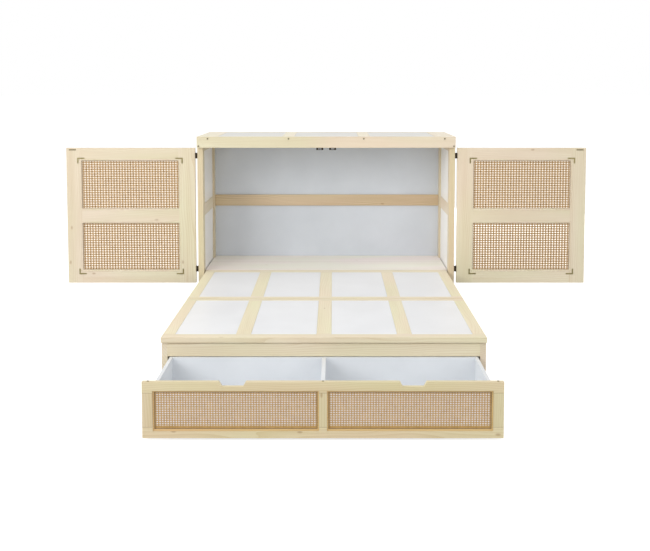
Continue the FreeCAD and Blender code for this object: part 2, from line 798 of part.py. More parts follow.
caster_x = housing_half - d.caster_side_inset
caster_front = housing_front + d.caster_inset
caster_rear = housing_rear - d.caster_inset
caster_spots = (("front_left", -caster_x, caster_front),
                ("front_right", caster_x, caster_front),
                ("rear_left", -caster_x, caster_rear),
                ("rear_right", caster_x, caster_rear))
forks = []
for name, x, y in caster_spots:
    forks.append(place(group("fork_" + name, [fork]), x, y, 0))
    node("caster_wheel_" + name, [spun("wheel_" + name, "XZ_Plane", [wheel_profile], "H_Axis", x, y,
                                       wheel_radius)])
node("caster_forks", forks)

# Drawer front: rails across, stiles between, two beaded cane panes and two finger notches.

front_top = d.drawer_front_bottom + d.drawer_front_height
top_rail_low = front_top - d.drawer_rail
bottom_rail_top = d.drawer_front_bottom + d.drawer_rail
pane_in = d.drawer_centre_stile / 2
pane_out = front_half - d.drawer_end_stile
pane_low = d.drawer_front_bottom + d.pane_bottom_margin
pane_high = front_top - d.pane_top_margin
notch_centre = front_half / 2
notch_floor = front_top - d.notch_depth
rail_outline = [(-front_half, top_rail_low), (front_half, top_rail_low), (front_half, front_top)]
for centre in (notch_centre, -notch_centre):
    rail_outline += [(centre + d.notch_width / 2, front_top), (centre + d.notch_base / 2, notch_floor),
                     (centre - d.notch_base / 2, notch_floor), (centre - d.notch_width / 2, front_top)]
rail_outline.append((-front_half, front_top))
notched_rail = prism("notched_rail", "XZ_Plane", [rail_outline], d.drawer_front_thickness, 0,
                     drawer_face)
doc.recompute()
rail_pad = notched_rail.Tip
notch_edges = []
for index, edge in enumerate(rail_pad.Shape.Edges, start=1):
    first = edge.Vertexes[0].Point
    last = edge.Vertexes[-1].Point
    through = abs(first.x - last.x) < 0.01 and abs(first.z - last.z) < 0.01
    if through and abs(first.x) < front_half.value - 1 and first.z > top_rail_low.value + 1:
        notch_edges.append("Edge%d" % index)
eased_notches = notched_rail.newObject("PartDesign::Fillet", "eased_notches")
eased_notches.Base = (rail_pad, notch_edges)
bind(eased_notches, "Radius", d.notch_round)
notched_rail.Tip = eased_notches

pane_opening = board("pane_opening", pane_in, pane_out, drawer_face - d.drawer_bead_depth,
                     drawer_back_face + d.drawer_bead_depth, pane_low, pane_high)
pane_openings = group("pane_openings", [pane_opening, mirrored("pane_opening_left", pane_opening)])
bottom_rail = board("bottom_rail", -front_half, front_half, drawer_face, drawer_back_face,
                    d.drawer_front_bottom, bottom_rail_top)
node("drawer_front_rails", [cut("top_rail_cut", notched_rail, pane_openings),
                            cut("bottom_rail_cut", bottom_rail, pane_openings)])
end_stile = board("end_stile", pane_out, front_half, drawer_face, drawer_back_face,
                  bottom_rail_top, top_rail_low)
node("drawer_front_stiles", [end_stile, mirrored("end_stile_left", end_stile),
                             board("centre_stile", -pane_in, pane_in, drawer_face, drawer_back_face,
                                   bottom_rail_top, top_rail_low)])
bead_face = drawer_face + d.drawer_bead_setback
cane_face = bead_face + d.drawer_bead_depth
drawer_bead = bead_frame("drawer_bead_right", pane_in, pane_out, pane_low, pane_high, d.drawer_bead,
                         d.drawer_bead_depth, bead_face)
node("drawer_beads", [drawer_bead, mirrored("drawer_bead_left", drawer_bead)])
drawer_cane = cane_sheet("drawer_cane_right", pane_in + d.drawer_bead, pane_out - d.drawer_bead,
                         pane_low + d.drawer_bead, pane_high - d.drawer_bead,
                         d.drawer_bead - d.panel_play, d.drawer_cane_columns, d.drawer_cane_rows,
                         cane_face)
node("drawer_cane", [drawer_cane, mirrored("drawer_cane_left", drawer_cane)])
backing = board("backing_right", pane_in + d.panel_play, pane_out - d.panel_play,
                cane_face + d.cane_thickness, drawer_back_face, pane_low + d.panel_play,
                pane_high - d.panel_play)
node("drawer_backing_panels", [backing, mirrored("backing_left", backing)])

# Drawer box with a centre divider and a grooved-in floor.

box_half = housing_in - d.runner_gap
box_in = box_half - d.box_wall
box_top = d.box_bottom + d.box_height
box_rear = drawer_back_face + d.box_depth
box_front_rear = drawer_back_face + d.box_front
box_floor_low = d.box_bottom + d.box_floor_rise
box_floor_top = box_floor_low + d.box_floor
box_floor = board("box_floor_board", -box_in - seat, box_in + seat, box_front_rear - seat,
                  box_rear - d.box_wall + seat, box_floor_low, box_floor_top)
floor_groove = board("floor_groove", -box_in - d.groove_depth, box_in + d.groove_depth,
                     box_front_rear - d.groove_depth, box_rear - d.box_wall + d.groove_depth,
                     box_floor_low, box_floor_top)
box_side = board("box_side", box_in, box_half, drawer_back_face, box_rear, d.box_bottom, box_top)
box_side_cut = cut("box_side_cut", box_side, floor_groove)
node("drawer_box_sides", [box_side_cut, mirrored("box_side_left", box_side_cut)])
box_ends = group("box_ends", [
    board("box_front_board", -box_in, box_in, drawer_back_face, box_front_rear, d.box_bottom,
          notch_floor - d.box_front_drop),
    board("box_back_board", -box_in, box_in, box_rear - d.box_wall, box_rear, d.box_bottom, box_top)])
node("drawer_box_ends", [cut("box_ends_cut", box_ends, floor_groove)])
node("drawer_divider", [board("divider_board", -d.divider / 2, d.divider / 2, box_front_rear,
                              box_rear - d.box_wall, box_floor_top, box_top)])
node("drawer_box_floor", [box_floor])

# Three-member drawer runners, each member a channel nested in the next.


def channel(name, web, tip, sheet_side, height, y):
    half = height / 2
    web_inner = web + sheet_side * d.runner_sheet
    lip = half - d.runner_sheet
    corners = [(web, -half), (web, half), (tip, half), (tip, lip), (web_inner, lip),
               (web_inner, -lip), (tip, -lip), (tip, -half)]
    return prism(name, "XZ_Plane", [corners], d.drawer_travel, 0, y, d.runner_middle_height)


nest = 2 * d.runner_sheet + 2 * d.running_gap
runner_front = housing_front + d.drawer_seat_gap
middle_web = housing_in - d.runner_sheet - d.running_gap
outer_member = channel("outer_member", housing_in, housing_in - d.runner_sheet - d.runner_lip, -1,
                       d.runner_height, runner_front)
middle_member = channel("middle_member", middle_web,
                        middle_web - d.runner_sheet - d.runner_middle_lip, -1,
                        d.runner_height - nest, runner_front - d.drawer_travel / 2)
inner_member = channel("inner_member", box_half, box_half + d.runner_sheet + d.runner_inner_lip, 1,
                       d.runner_height - 2 * nest, runner_front - d.drawer_travel)
node("housing_runners", [outer_member, mirrored("outer_member_left", outer_member)])
node("drawer_runners", [inner_member, mirrored("inner_member_left", inner_member)])
node("right_runner_slide", [middle_member])
node("left_runner_slide", [mirrored("middle_member_left", middle_member)])

doc.recompute()

for item in doc.Objects:
    if "Invalid" in item.State or "Error" in item.State:
        raise RuntimeError("%s failed: %s" % (item.Name, item.State))
for piece in nodes:
    if piece.Shape.isNull() or not piece.Shape.isValid() or not piece.Shape.Solids:
        raise RuntimeError("%s has no valid shape" % piece.Label)

os.makedirs("parts", exist_ok=True)
for piece in nodes:
    piece.Shape.exportStep("parts/%s.step" % piece.Label)
print("%d nodes, %d solids" % (len(nodes), sum(len(piece.Shape.Solids) for piece in nodes)))
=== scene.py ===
import math

import bpy
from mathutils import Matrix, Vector


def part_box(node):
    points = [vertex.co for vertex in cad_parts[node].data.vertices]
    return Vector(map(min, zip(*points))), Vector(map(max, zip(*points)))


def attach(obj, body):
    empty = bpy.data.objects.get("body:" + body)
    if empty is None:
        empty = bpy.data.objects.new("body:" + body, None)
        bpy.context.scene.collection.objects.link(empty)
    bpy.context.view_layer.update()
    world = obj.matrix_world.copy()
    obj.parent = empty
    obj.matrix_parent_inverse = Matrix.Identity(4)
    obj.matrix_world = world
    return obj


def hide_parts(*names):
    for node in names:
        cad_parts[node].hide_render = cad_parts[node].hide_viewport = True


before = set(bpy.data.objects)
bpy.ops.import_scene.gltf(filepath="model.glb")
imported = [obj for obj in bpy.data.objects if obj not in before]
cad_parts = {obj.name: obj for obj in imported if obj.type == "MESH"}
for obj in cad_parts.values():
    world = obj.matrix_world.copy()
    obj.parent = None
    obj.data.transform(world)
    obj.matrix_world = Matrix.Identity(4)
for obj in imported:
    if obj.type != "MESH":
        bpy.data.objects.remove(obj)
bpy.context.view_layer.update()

print("frame loaded:", len(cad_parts), "nodes")


# values and helpers that several pieces share

bothSides = ((-1, "left"), (1, "right"))
roundSteps = 2
smoothAngle = math.radians(35)
squareOn = 0.9  # least part of a face's normal along the axis that it looks along


def deselectAll():
    if bpy.context.object and bpy.context.object.mode != "OBJECT":
        bpy.ops.object.mode_set(mode="OBJECT")
    bpy.ops.object.select_all(action="DESELECT")


def selectFaces(piece, test):
    for part in (piece.data.vertices, piece.data.edges, piece.data.polygons):
        for item in part:
            item.select = False
    for face in piece.data.polygons:
        face.select = test(face)
    bpy.context.tool_settings.mesh_select_mode = (False, False, True)


def thicken(piece, thickness):
    thick = piece.modifiers.new("thick", "SOLIDIFY")
    thick.thickness = thickness
    thick.offset = 0
    bpy.ops.object.modifier_apply(modifier="thick")


def copyTo(source, name, place):
    copied = source.copy()
    copied.data = source.data.copy()
    copied.name = name
    copied.data.name = name
    bpy.context.collection.objects.link(copied)
    deselectAll()
    copied.select_set(True)
    bpy.context.view_layer.objects.active = copied
    copied.location = place
    bpy.ops.object.transform_apply(location=True, rotation=False, scale=False)
    return copied


def removeSources(*sources):
    for source in sources:
        bpy.data.objects.remove(source, do_unlink=True)


# camera, dipped a few degrees, with its picture shifted down to the framing of the photo

cameraSetup = {
    "place": (0.043, -4.931, 1.5184),
    "dip": 4.0,
    "lens": 49.1726,
    "sensor": 36.0,
    "shift": (-0.0123, -0.1959),
}

deselectAll()
bpy.ops.object.camera_add(location=cameraSetup["place"],
                          rotation=(math.radians(90 - cameraSetup["dip"]), 0, 0))
camera = bpy.context.object
camera.name = "frontCamera"
camera.data.lens = cameraSetup["lens"]
camera.data.sensor_width = cameraSetup["sensor"]
camera.data.shift_x, camera.data.shift_y = cameraSetup["shift"]
bpy.context.scene.camera = camera
bpy.context.scene.view_settings.view_transform = "Standard"


# node helpers

def addNode(tree, kind, x, y, **settings):
    item = tree.nodes.new(kind)
    item.location = (x, y)
    for key, value in settings.items():
        setattr(item, key, value)
    return item


def setInputs(item, **values):
    for key, value in values.items():
        item.inputs[key.replace("_", " ")].default_value = value
    return item


def newGroup(name, inputs, outputs):
    tree = bpy.data.node_groups.new(name, "ShaderNodeTree")
    for label, kind in inputs:
        tree.interface.new_socket(label, in_out="INPUT", socket_type=kind)
    for label, kind in outputs:
        tree.interface.new_socket(label, in_out="OUTPUT", socket_type=kind)
    start = addNode(tree, "NodeGroupInput", -1400, 0)
    end = addNode(tree, "NodeGroupOutput", 900, 0)
    return tree, start, end


def mathNode(tree, operation, x, y, first=None, second=None, clamp=False):
    item = addNode(tree, "ShaderNodeMath", x, y, operation=operation, use_clamp=clamp)
    for index, value in enumerate((first, second)):
        if value is None:
            continue
        if isinstance(value, (int, float)):
            item.inputs[index].default_value = value
        else:
            tree.links.new(value, item.inputs[index])
    return item.outputs[0]


def mixColours(tree, x, y, factor, first, second, blend="MIX"):
    item = addNode(tree, "ShaderNodeMix", x, y, data_type="RGBA", blend_type=blend)
    for index, value in ((0, factor), (6, first), (7, second)):
        if isinstance(value, (int, float)):
            item.inputs[index].default_value = value
        elif isinstance(value, tuple):
            item.inputs[index].default_value = (*value, 1.0)
        else:
            tree.links.new(value, item.inputs[index])
    return item.outputs[2]


def mapRange(tree, x, y, value, source=(0.0, 1.0), target=(0.0, 1.0), interpolation="LINEAR"):
    item = addNode(tree, "ShaderNodeMapRange", x, y, interpolation_type=interpolation)
    setInputs(item, From_Min=source[0], From_Max=source[1], To_Min=target[0], To_Max=target[1])
    tree.links.new(value, item.inputs["Value"])
    return item.outputs[0]


def stretchedNoise(tree, y, vector, scale, **settings):
    place = addNode(tree, "ShaderNodeMapping", -1200, y)
    place.inputs["Scale"].default_value = scale
    tree.links.new(vector, place.inputs["Vector"])
    noise = setInputs(addNode(tree, "ShaderNodeTexNoise", -1000, y), Scale=1.0, **settings)
    tree.links.new(place.outputs[0], noise.inputs["Vector"])
    return noise.outputs["Fac"]


# growth rings, streaks and knots of pine, with the grain along the vector's own X

grainLook = {
    "wanderScale": (1.1, 7.0, 7.0),
    "wanderReach": 0.09,
    "ringFolds": (0.31, 0.23),
    "ringEdge": 2.4,
    "ringShare": 0.6,
    "fibreScale": (9.0, 260.0, 260.0),
    "fibreShare": 0.12,
    "fibreShade": (0.55, 0.41, 0.24),
    "fibreHeight": 0.5,
    "broadScale": (0.9, 14.0, 14.0),
    "broadRange": (0.3, 0.7),
    "broadShare": 0.5,
    "knotSlant": 0.73,
    "knotRates": (5.0, 14.0),
    "knotReach": (0.02, 0.085),
    "knotShare": 0.5,
    "knotShade": (0.34, 0.19, 0.08),
    "hueScale": (1.3, 5.0, 5.0),
    "hueRange": (0.35, 0.65),
    "pinkTint": (1.02, 0.97, 1.0),
    "strawTint": (0.98, 1.01, 0.95),
    "roughness": (0.5, 0.36),
}


def makePineGrain(look):
    tree, start, end = newGroup(
        "pineGrain",
        [("Vector", "NodeSocketVector"), ("Ring Gap", "NodeSocketFloat"), ("Knots", "NodeSocketFloat"),
         ("Early Wood", "NodeSocketColor"), ("Late Wood", "NodeSocketColor")],
        [("Colour", "NodeSocketColor"), ("Height", "NodeSocketFloat"), ("Roughness", "NodeSocketFloat")])
    link = tree.links.new
    vector = start.outputs["Vector"]
    split = addNode(tree, "ShaderNodeSeparateXYZ", -1200, 0)
    link(vector, split.inputs[0])
    along, across, through = split.outputs

    # rings that wander slowly along the board
    wander = stretchedNoise(tree, 300, vector, look["wanderScale"], Detail=2.0)
    wandered = mathNode(tree, "MULTIPLY", -670, 220, wander, look["wanderReach"])
    foldAcross, foldThrough = look["ringFolds"]
    foldedAcross = mathNode(tree, "PINGPONG", -1000, 60, across, foldAcross)
    foldedThrough = mathNode(tree, "PINGPONG", -1000, -100, through, foldThrough)
    squareAcross = mathNode(tree, "POWER", -830, 60, foldedAcross, 2.0)
    squareThrough = mathNode(tree, "POWER", -830, -100, foldedThrough, 2.0)
    radius = mathNode(tree, "SQRT", -520, 0, mathNode(tree, "ADD", -670, 0, squareAcross, squareThrough))
    distance = mathNode(tree, "ADD", -380, 60, radius, wandered)
    turns = mathNode(tree, "DIVIDE", -230, 60, distance, start.outputs["Ring Gap"])
    ring = mathNode(tree, "FRACT", -90, 60, turns)
    ringEdge = mathNode(tree, "POWER", 60, 60, ring, look["ringEdge"])

    # fine fibres, and broad lighter and darker stretches
    fibre = stretchedNoise(tree, -350, vector, look["fibreScale"], Detail=3.0)
    broad = stretchedNoise(tree, -650, vector, look["broadScale"], Detail=3.0, Roughness=0.6)
    broadTone = mapRange(tree, -800, -650, broad, look["broadRange"])

    # knots, a few along each board, that run slanting through its thickness
    slanted = mathNode(tree, "MULTIPLY", -1450, -1100, through, look["knotSlant"])
    knotRun = mathNode(tree, "ADD", -1300, -1050, across, slanted)
    rateAlong, rateAcross = look["knotRates"]
    knotPlace = addNode(tree, "ShaderNodeCombineXYZ", -1150, -950)
    link(mathNode(tree, "MULTIPLY", -1300, -900, along, rateAlong), knotPlace.inputs[0])
    link(mathNode(tree, "MULTIPLY", -1300, -1000, knotRun, rateAcross), knotPlace.inputs[1])
    knotCell = addNode(tree, "ShaderNodeTexVoronoi", -1000, -950, voronoi_dimensions="2D")
    setInputs(knotCell, Scale=1.0)
    link(knotPlace.outputs[0], knotCell.inputs["Vector"])
    knotPick = addNode(tree, "ShaderNodeSeparateColor", -800, -1050)
    link(knotCell.outputs["Color"], knotPick.inputs[0])
    chosen = mathNode(tree, "LESS_THAN", -620, -1050, knotPick.outputs[0], start.outputs["Knots"])
    knotCore = mapRange(tree, -800, -880, knotCell.outputs["Distance"], look["knotReach"], (1.0, 0.0),
                        "SMOOTHSTEP")
    knot = mathNode(tree, "MULTIPLY", -450, -950, knotCore, chosen)

    # some stretches lean to pink, others to straw
    hue = stretchedNoise(tree, -1250, vector, look["hueScale"], Detail=1.0)
    hueTone = mapRange(tree, -800, -1250, hue, look["hueRange"])
    tint = mixColours(tree, -600, -1250, hueTone, look["pinkTint"], look["strawTint"])

    lateShare = mathNode(tree, "MULTIPLY", 200, 120, ringEdge, look["ringShare"])
    lateMore = mathNode(tree, "MULTIPLY", 60, -200, broadTone, look["broadShare"])
    late = mathNode(tree, "ADD", 340, 60, lateShare, lateMore, clamp=True)
    plain = mixColours(tree, 480, 200, late, start.outputs["Early Wood"], start.outputs["Late Wood"])
    wood = mixColours(tree, 550, 350, 1.0, plain, tint, "MULTIPLY")
    fibreShare = mathNode(tree, "MULTIPLY", 200, -380, fibre, look["fibreShare"])
    fibred = mixColours(tree, 620, 200, fibreShare, wood, look["fibreShade"])
    knotShare = mathNode(tree, "MULTIPLY", 480, -500, knot, look["knotShare"])
    link(mixColours(tree, 760, 200, knotShare, fibred, look["knotShade"]), end.inputs["Colour"])
    fibreHeight = mathNode(tree, "MULTIPLY", 340, -380, fibre, look["fibreHeight"])
    link(mathNode(tree, "ADD", 620, -100, ringEdge, fibreHeight), end.inputs["Height"])
    link(mapRange(tree, 480, -250, late, target=look["roughness"]), end.inputs["Roughness"])
    return tree


# soft unevenness that lacquer, plastic, metal and cane share

mottleLook = {"coarseDetail": 4.0, "coarseRoughness": 0.55, "fineDetail": 2.0, "toneRange": (0.3, 0.7)}


def makeFineMottle(look):
    tree, start, end = newGroup(
        "fineMottle",
        [("Vector", "NodeSocketVector"), ("Coarse", "NodeSocketFloat"), ("Fine", "NodeSocketFloat"),
         ("Rough Low", "NodeSocketFloat"), ("Rough High", "NodeSocketFloat")],
        [("Tone", "NodeSocketFloat"), ("Height", "NodeSocketFloat"), ("Roughness", "NodeSocketFloat")])
    link = tree.links.new
    coarse = addNode(tree, "ShaderNodeTexNoise", -1000, 200)
    setInputs(coarse, Detail=look["coarseDetail"], Roughness=look["coarseRoughness"])
    fine = setInputs(addNode(tree, "ShaderNodeTexNoise", -1000, -200), Detail=look["fineDetail"])
    for noise, label in ((coarse, "Coarse"), (fine, "Fine")):
        link(start.outputs["Vector"], noise.inputs["Vector"])
        link(start.outputs[label], noise.inputs["Scale"])
    tone = mapRange(tree, -700, 200, coarse.outputs["Fac"], look["toneRange"])
    link(tone, end.inputs["Tone"])
    link(fine.outputs["Fac"], end.inputs["Height"])
    spread = mathNode(tree, "SUBTRACT", -500, -400, start.outputs["Rough High"], start.outputs["Rough Low"])
    mixed = mathNode(tree, "MULTIPLY", -300, -300, tone, spread)
    link(mathNode(tree, "ADD", -100, -300, mixed, start.outputs["Rough Low"]), end.inputs["Roughness"])
    return tree


pineGrain = makePineGrain(grainLook)
fineMottle = makeFineMottle(mottleLook)


# parts that every finish has

def newMaterial(name):
    material = bpy.data.materials.new(name)
    material.use_nodes = True
    tree = material.node_tree
    tree.nodes.clear()
    output = addNode(tree, "ShaderNodeOutputMaterial", 800, 0)
    shader = addNode(tree, "ShaderNodeBsdfPrincipled", 500, 0)
    tree.links.new(shader.outputs[0], output.inputs["Surface"])
    coordinates = addNode(tree, "ShaderNodeTexCoord", -900, 0)
    return material, tree, shader, coordinates.outputs["Object"]


def principledOf(material):
    return next(item for item in material.node_tree.nodes if item.type == "BSDF_PRINCIPLED")


def addBump(tree, shader, height, strength, distance):
    bump = setInputs(addNode(tree, "ShaderNodeBump", 250, -300), Strength=strength, Distance=distance)
    tree.links.new(height, bump.inputs["Height"])
    tree.links.new(bump.outputs[0], shader.inputs["Normal"])


def addMottle(tree, shader, place, coarse, fine, rough):
    mottle = addNode(tree, "ShaderNodeGroup", -400, 0, node_tree=fineMottle)
    tree.links.new(place, mottle.inputs["Vector"])
    setInputs(mottle, Coarse=coarse, Fine=fine, Rough_Low=rough[0], Rough_High=rough[1])
    tree.links.new(mottle.outputs["Roughness"], shader.inputs["Roughness"])
    return mottle


# pine, one finish for each tone and each way that a board can lie

pineLook = {
    "ringGap": 0.009,
    "specular": 0.4,
    "sheen": 0.35,
    "sheenRoughness": 0.4,
    "sheenTint": (1, 0.97, 0.9, 1),
    "bump": 0.25,
    "bumpDepth": 0.0004,
}
grainTurns = {"along": (0, 0, 0), "deep": (0, 0, -math.pi / 2), "upright": (0, math.pi / 2, 0)}
# early wood and late wood
pineTones = {
    "usual": ((0.79, 0.725, 0.565), (0.655, 0.55, 0.375)),
    # the next two tones are darker, khaki copies of the usual pine: painted shade, for the drawer front and
    # the front posts set back under the apron
    "straw": ((0.765, 0.68, 0.47), (0.64, 0.525, 0.305)),
    "shadedDeepStraw": ((0.72, 0.635, 0.44), (0.60, 0.49, 0.285)),
    # the next two tones are the usual pine darkened and browned: painted shade of the cabinet's inside, for
    # the rear posts, back rails and deck cleats
    "shadedDullStraw": ((0.68, 0.61, 0.43), (0.56, 0.46, 0.28)),
    "shadedBrown": ((0.74, 0.61, 0.425), (0.47, 0.345, 0.19)),
    # the next two tones are lighter copies of the usual pine: painted light, for the top-lit platform boards
    # and the shaded housing front rail
    "pale": ((0.825, 0.765, 0.575), (0.685, 0.58, 0.385)),
    "litPalest": ((0.86, 0.81, 0.60), (0.715, 0.615, 0.395)),
    "gold": ((0.76, 0.55, 0.26), (0.60, 0.40, 0.17)),
    "whiteWash": ((0.95, 0.92, 0.88), (0.88, 0.82, 0.76)),
}
pineFinishes = {
    "pineAlong": {"lie": "along", "shift": (0.3, 0.04, 0.02), "tone": "usual"},
    "pineDeep": {"lie": "deep", "shift": (0.1, 0.07, 0.05), "tone": "usual"},
    "pineUpright": {"lie": "upright", "shift": (0.2, 0.02, 0.09), "tone": "usual"},
    # darker khaki finishes of the same pine: painted shade on the drawer front and on the front posts under
    # the apron
    "pineShadedStraw": {"lie": "along", "shift": (0.9, 0.05, 0.01), "tone": "straw", "knots": 0.34},
    "pineShadedStrawUpright": {"lie": "upright", "shift": (0.6, 0.03, 0.07), "tone": "shadedDeepStraw"},
    "pineShadedStile": {"lie": "upright", "shift": (0.6, 0.03, 0.07), "tone": "shadedDeepStraw"},
    # darker, browner finishes of the same pine: painted shade on the parts deep inside the cabinet
    "pineShadedBack": {"lie": "along", "shift": (0.7, 0.01, 0.03), "tone": "shadedBrown", "knots": 0.5},
    "pineShadedBackUpright": {"lie": "upright", "shift": (0.4, 0.05, 0.02), "tone": "shadedDullStraw"},
    # lighter finishes of the same pine: painted light on the platform boards and the housing front rail
    "pineLitPale": {"lie": "along", "shift": (0.3, 0.04, 0.02), "tone": "pale"},
    "pineLitPaleDeep": {"lie": "deep", "shift": (0.1, 0.07, 0.05), "tone": "litPalest"},
    "goldBead": {"lie": "along", "shift": (0.5, 0.02, 0.06), "tone": "gold", "knots": 0.02},
    "deckWash": {"lie": "along", "shift": (0.4, 0.06, 0.08), "tone": "whiteWash", "knots": 0.02},
}


def makePine(name, lie, shift, tone, knots=0.14):
    material, tree, shader, place = newMaterial(name)
    turned = addNode(tree, "ShaderNodeMapping", -650, 0)
    turned.inputs["Rotation"].default_value = grainTurns[lie]
    turned.inputs["Location"].default_value = shift
    tree.links.new(place, turned.inputs["Vector"])
    grain = addNode(tree, "ShaderNodeGroup", -350, 0, node_tree=pineGrain)
    tree.links.new(turned.outputs[0], grain.inputs["Vector"])
    early, late = pineTones[tone]
    setInputs(grain, Ring_Gap=pineLook["ringGap"], Knots=knots, Early_Wood=(*early, 1), Late_Wood=(*late, 1))
    tree.links.new(grain.outputs["Colour"], shader.inputs["Base Color"])
    tree.links.new(grain.outputs["Roughness"], shader.inputs["Roughness"])
    setInputs(shader, Specular_IOR_Level=pineLook["specular"], Sheen_Weight=pineLook["sheen"],
              Sheen_Roughness=pineLook["sheenRoughness"], Sheen_Tint=pineLook["sheenTint"])
    addBump(tree, shader, grain.outputs["Height"], pineLook["bump"], pineLook["bumpDepth"])
    return material


# lacquer, plastic and metal finishes

evenFinishes = {
    "whitePanel": {"dark": (0.82, 0.83, 0.85), "light": (0.86, 0.87, 0.89),
                   "rough": (0.30, 0.42), "coarse": 5.0},
    "sidePanel": {"dark": (0.90, 0.885, 0.86), "light": (0.93, 0.915, 0.89),
                  "rough": (0.30, 0.42), "coarse": 5.0},
    # a warmer white than the other panels: the warmth is a painted reflection of the pine around the top
    "topPanelWarmReflection": {"dark": (0.80, 0.79, 0.745), "light": (0.84, 0.83, 0.785),
                 "rough": (0.30, 0.42), "coarse": 5.0},
    "caneBacking": {"dark": (0.89, 0.90, 0.92), "light": (0.92, 0.93, 0.95),
                    "rough": (0.34, 0.46), "coarse": 5.0},
    # a greyer, bluer white than the other panels: painted shade of the cabinet's inside on its white back
    # panels
    "shadedBackPanel": {"dark": (0.63, 0.67, 0.73), "light": (0.68, 0.72, 0.78),
                  "rough": (0.34, 0.46), "coarse": 4.0},
    "drawerWhite": {"dark": (0.715, 0.74, 0.77), "light": (0.755, 0.78, 0.81),
                    "rough": (0.32, 0.46), "coarse": 6.0},
    "bronze": {"dark": (0.030, 0.022, 0.016), "light": (0.060, 0.044, 0.032),
               "rough": (0.34, 0.52), "coarse": 120.0, "fine": 900.0, "metallic": 0.85},
    "darkBrass": {"dark": (0.20, 0.165, 0.10), "light": (0.29, 0.24, 0.15),
                  "rough": (0.34, 0.5), "coarse": 90.0, "fine": 900.0, "metallic": 0.8},
    "brass": {"dark": (0.27, 0.23, 0.10), "light": (0.38, 0.32, 0.15),
              "rough": (0.32, 0.48), "coarse": 90.0, "fine": 900.0, "metallic": 0.9},
    "zincSteel": {"dark": (0.52, 0.53, 0.54), "light": (0.66, 0.67, 0.68),
                  "rough": (0.26, 0.42), "coarse": 60.0, "fine": 900.0, "metallic": 1.0},
    "blackPlastic": {"dark": (0.016, 0.016, 0.017), "light": (0.030, 0.030, 0.031),
                     "rough": (0.42, 0.60), "coarse": 70.0, "fine": 900.0},
}


def makeEven(name, dark, light, rough, coarse, fine=420.0, metallic=0.0, bump=0.05, bumpDepth=0.0002,
             specular=0.5):
    material, tree, shader, place = newMaterial(name)
    mottle = addMottle(tree, shader, place, coarse, fine, rough)
    colour = mixColours(tree, 0, 150, mottle.outputs["Tone"], dark, light)
    tree.links.new(colour, shader.inputs["Base Color"])
    setInputs(shader, Metallic=metallic, Specular_IOR_Level=specular)
    addBump(tree, shader, mottle.outputs["Height"], bump, bumpDepth)
    return material


# cane strands: long fibres and a change of tone from strand to strand

caneLook = {
    "coarse": 55.0,
    "rough": (0.36, 0.55),
    "fibreShare": 0.35,
    "fibreShade": 0.55,
    "bump": 0.3,
    "bumpDepth": 0.0002,
}
caneFinishes = {
    "doorCane": {"pale": (0.77, 0.54, 0.30), "deep": (0.67, 0.44, 0.22), "fibreGap": 0.0011},
    # the dark reed finishes are partly a spline's own colour and partly painted shadow along the pane's edge
    "doorReedShadowLine": {"pale": (0.40, 0.29, 0.17), "deep": (0.33, 0.235, 0.135), "fibreGap": 0.0011},
    "drawerCane": {"pale": (0.76, 0.48, 0.18), "deep": (0.61, 0.36, 0.105), "fibreGap": 0.0009},
    "drawerReedShadowLine": {"pale": (0.40, 0.27, 0.13), "deep": (0.32, 0.21, 0.10), "fibreGap": 0.0009},
}


def makeCane(name, pale, deep, fibreGap):
    material, tree, shader, place = newMaterial(name)
    mottle = addMottle(tree, shader, place, caneLook["coarse"], 1.0 / fibreGap, caneLook["rough"])
    tone = mixColours(tree, 0, 200, mottle.outputs["Tone"], pale, deep)
    fibre = mathNode(tree, "MULTIPLY", -150, -100, mottle.outputs["Height"], caneLook["fibreShare"])
    shade = tuple(caneLook["fibreShade"] * part for part in deep)
    tree.links.new(mixColours(tree, 180, 200, fibre, tone, shade), shader.inputs["Base Color"])
    addBump(tree, shader, mottle.outputs["Height"], caneLook["bump"], caneLook["bumpDepth"])
    return material


# dark lines in a finish where its boards meet others, at places along one axis

drawerJoint = {"axis": 2, "halfWidth": 0.0022, "share": 0.55, "shade": (0.30, 0.21, 0.11)}
deckJoint = {"axis": 1, "halfWidth": 0.0024, "share": 0.5, "shade": (0.42, 0.36, 0.29)}
deckJointPlaces = (0.761, 0.97875)


def shadeJoints(material, joint, places):
    tree = material.node_tree
    shader = principledOf(material)
    plain = shader.inputs["Base Color"].links[0].from_socket
    coordinates = addNode(tree, "ShaderNodeTexCoord", -900, 700)
    split = addNode(tree, "ShaderNodeSeparateXYZ", -700, 700)
    tree.links.new(coordinates.outputs["Object"], split.inputs[0])
    lines = 0.0
    for place in places:
        offset = mathNode(tree, "SUBTRACT", -500, 700, split.outputs[joint["axis"]], place)
        near = mathNode(tree, "LESS_THAN", -200, 700, mathNode(tree, "ABSOLUTE", -350, 700, offset),
                        joint["halfWidth"])
        lines = mathNode(tree, "ADD", -50, 700, near, lines)
    share = mathNode(tree, "MULTIPLY", 100, 700, lines, joint["share"])
    tree.links.new(mixColours(tree, 300, 500, share, plain, joint["shade"]), shader.inputs["Base Color"])


finishes = {name: makePine(name, **look) for name, look in pineFinishes.items()}
finishes.update({name: makeEven(name, **look) for name, look in evenFinishes.items()})
finishes.update({name: makeCane(name, **look) for name, look in caneFinishes.items()})
stileLow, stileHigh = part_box("drawer_front_stiles")
shadeJoints(finishes["pineShadedStile"], drawerJoint, (stileLow[2], stileHigh[2]))
shadeJoints(finishes["deckWash"], deckJoint, deckJointPlaces)
print("finishes made:", len(finishes))


# every node of the frame gets its finish, and a softened edge where it is not kept sharp

